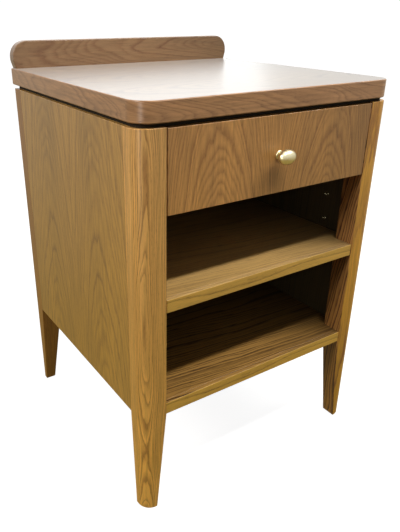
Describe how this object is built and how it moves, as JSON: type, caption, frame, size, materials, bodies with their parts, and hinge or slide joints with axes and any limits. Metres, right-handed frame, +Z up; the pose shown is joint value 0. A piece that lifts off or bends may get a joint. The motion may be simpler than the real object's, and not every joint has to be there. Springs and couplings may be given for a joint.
{
  "type": "bedside cabinet",
  "caption": "Wooden bedside cabinet on tapered legs, with a drawer on telescopic runners, a lift-off shelf, an open base shelf, a shadow-gap top and a low rear upstand.",
  "frame": {"origin": "on the floor, under the middle of the whole cabinet's bounding box", "axes": "+Z up, +X to the right as seen from the front, and the drawer opens towards -Y"},
  "size_m": [0.5, 0.512, 0.753],
  "materials": {
    "oak_veneer": "satin lacquered oak veneer",
    "oak_solid": "satin lacquered solid oak",
    "oak_top": "polished lacquered oak",
    "oak_lipping": "satin lacquered solid oak, lighter",
    "dark_stain": "dark stained, satin",
    "back_board": "veneered board, matt",
    "softwood": "planed, unfinished",
    "birch_ply": "clear sealed plywood",
    "brass": "polished",
    "zinc_steel": "bright zinc plated"
  },
  "bodies": {
    "cabinet": {"top_slab": "oak_top", "upstand": "oak_top", "shadow_gap_spacer": "dark_stain", "front_leg_left": "oak_solid", "front_leg_right": "oak_solid", "rear_leg_left": "oak_solid", "rear_leg_right": "oak_solid", "side_panel_left": "oak_veneer", "side_panel_right": "oak_veneer", "back_panel": "back_board", "bottom_shelf": "oak_veneer", "bottom_shelf_lipping": "oak_lipping", "top_front_rail": "softwood", "top_rear_rail": "softwood", "runner_batten_left": "softwood", "runner_batten_right": "softwood", "runner_cabinet_member_left": "zinc_steel", "runner_cabinet_member_right": "zinc_steel", "shelf_bracket_front_left": "zinc_steel", "shelf_bracket_front_right": "zinc_steel", "shelf_bracket_rear_left": "zinc_steel", "shelf_bracket_rear_right": "zinc_steel", "shelf_sleeve_front_low_left": "brass", "shelf_sleeve_front_low_right": "brass", "shelf_sleeve_front_mid_left": "brass", "shelf_sleeve_front_mid_right": "brass", "shelf_sleeve_front_high_left": "brass", "shelf_sleeve_front_high_right": "brass", "shelf_sleeve_rear_low_left": "brass", "shelf_sleeve_rear_low_right": "brass", "shelf_sleeve_rear_mid_left": "brass", "shelf_sleeve_rear_mid_right": "brass", "shelf_sleeve_rear_high_left": "brass", "shelf_sleeve_rear_high_right": "brass", "top_screw_front_left": "zinc_steel", "top_screw_front_right": "zinc_steel", "top_screw_rear_left": "zinc_steel", "top_screw_rear_right": "zinc_steel"},
    "drawer": {"drawer_front": "oak_veneer", "drawer_box_front": "birch_ply", "drawer_side_left": "birch_ply", "drawer_side_right": "birch_ply", "drawer_box_back": "birch_ply", "drawer_bottom": "birch_ply", "knob_head": "brass", "knob_rosette": "brass", "knob_screw": "zinc_steel", "drawer_front_screw_left": "zinc_steel", "drawer_front_screw_right": "zinc_steel", "runner_drawer_member_left": "zinc_steel", "runner_drawer_member_right": "zinc_steel"},
    "runner_outer_cage_left": {"runner_outer_ball_cage_left": "zinc_steel"},
    "runner_middle_left": {"runner_middle_member_left": "zinc_steel"},
    "runner_inner_cage_left": {"runner_inner_ball_cage_left": "zinc_steel"},
    "runner_outer_cage_right": {"runner_outer_ball_cage_right": "zinc_steel"},
    "runner_middle_right": {"runner_middle_member_right": "zinc_steel"},
    "runner_inner_cage_right": {"runner_inner_ball_cage_right": "zinc_steel"},
    "shelf": {"middle_shelf": "oak_veneer", "middle_shelf_lipping": "oak_lipping"}
  },
  "joints": [
    {"name": "drawer_slide", "type": "slide", "parent": "cabinet", "child": "drawer", "axis": [0, -1, 0], "range_m": [0, 0.4]},
    {"name": "runner_outer_cage_left_slide", "type": "slide", "parent": "cabinet", "child": "runner_outer_cage_left", "axis": [0, -1, 0], "range_m": [0, 0.1]},
    {"name": "runner_middle_left_slide", "type": "slide", "parent": "cabinet", "child": "runner_middle_left", "axis": [0, -1, 0], "range_m": [0, 0.2]},
    {"name": "runner_inner_cage_left_slide", "type": "slide", "parent": "cabinet", "child": "runner_inner_cage_left", "axis": [0, -1, 0], "range_m": [0, 0.3]},
    {"name": "runner_outer_cage_right_slide", "type": "slide", "parent": "cabinet", "child": "runner_outer_cage_right", "axis": [0, -1, 0], "range_m": [0, 0.1]},
    {"name": "runner_middle_right_slide", "type": "slide", "parent": "cabinet", "child": "runner_middle_right", "axis": [0, -1, 0], "range_m": [0, 0.2]},
    {"name": "runner_inner_cage_right_slide", "type": "slide", "parent": "cabinet", "child": "runner_inner_cage_right", "axis": [0, -1, 0], "range_m": [0, 0.3]},
    {"name": "shelf_lift", "type": "slide", "parent": "cabinet", "child": "shelf", "axis": [0, 0, 1], "range_m": [0, 0.1]}
  ],
  "couplings": [
    {"joint": "runner_outer_cage_left_slide", "follows": "drawer_slide", "ratio": 0.25},
    {"joint": "runner_middle_left_slide", "follows": "drawer_slide", "ratio": 0.5},
    {"joint": "runner_inner_cage_left_slide", "follows": "drawer_slide", "ratio": 0.75},
    {"joint": "runner_outer_cage_right_slide", "follows": "drawer_slide", "ratio": 0.25},
    {"joint": "runner_middle_right_slide", "follows": "drawer_slide", "ratio": 0.5},
    {"joint": "runner_inner_cage_right_slide", "follows": "drawer_slide", "ratio": 0.75}
  ]
}
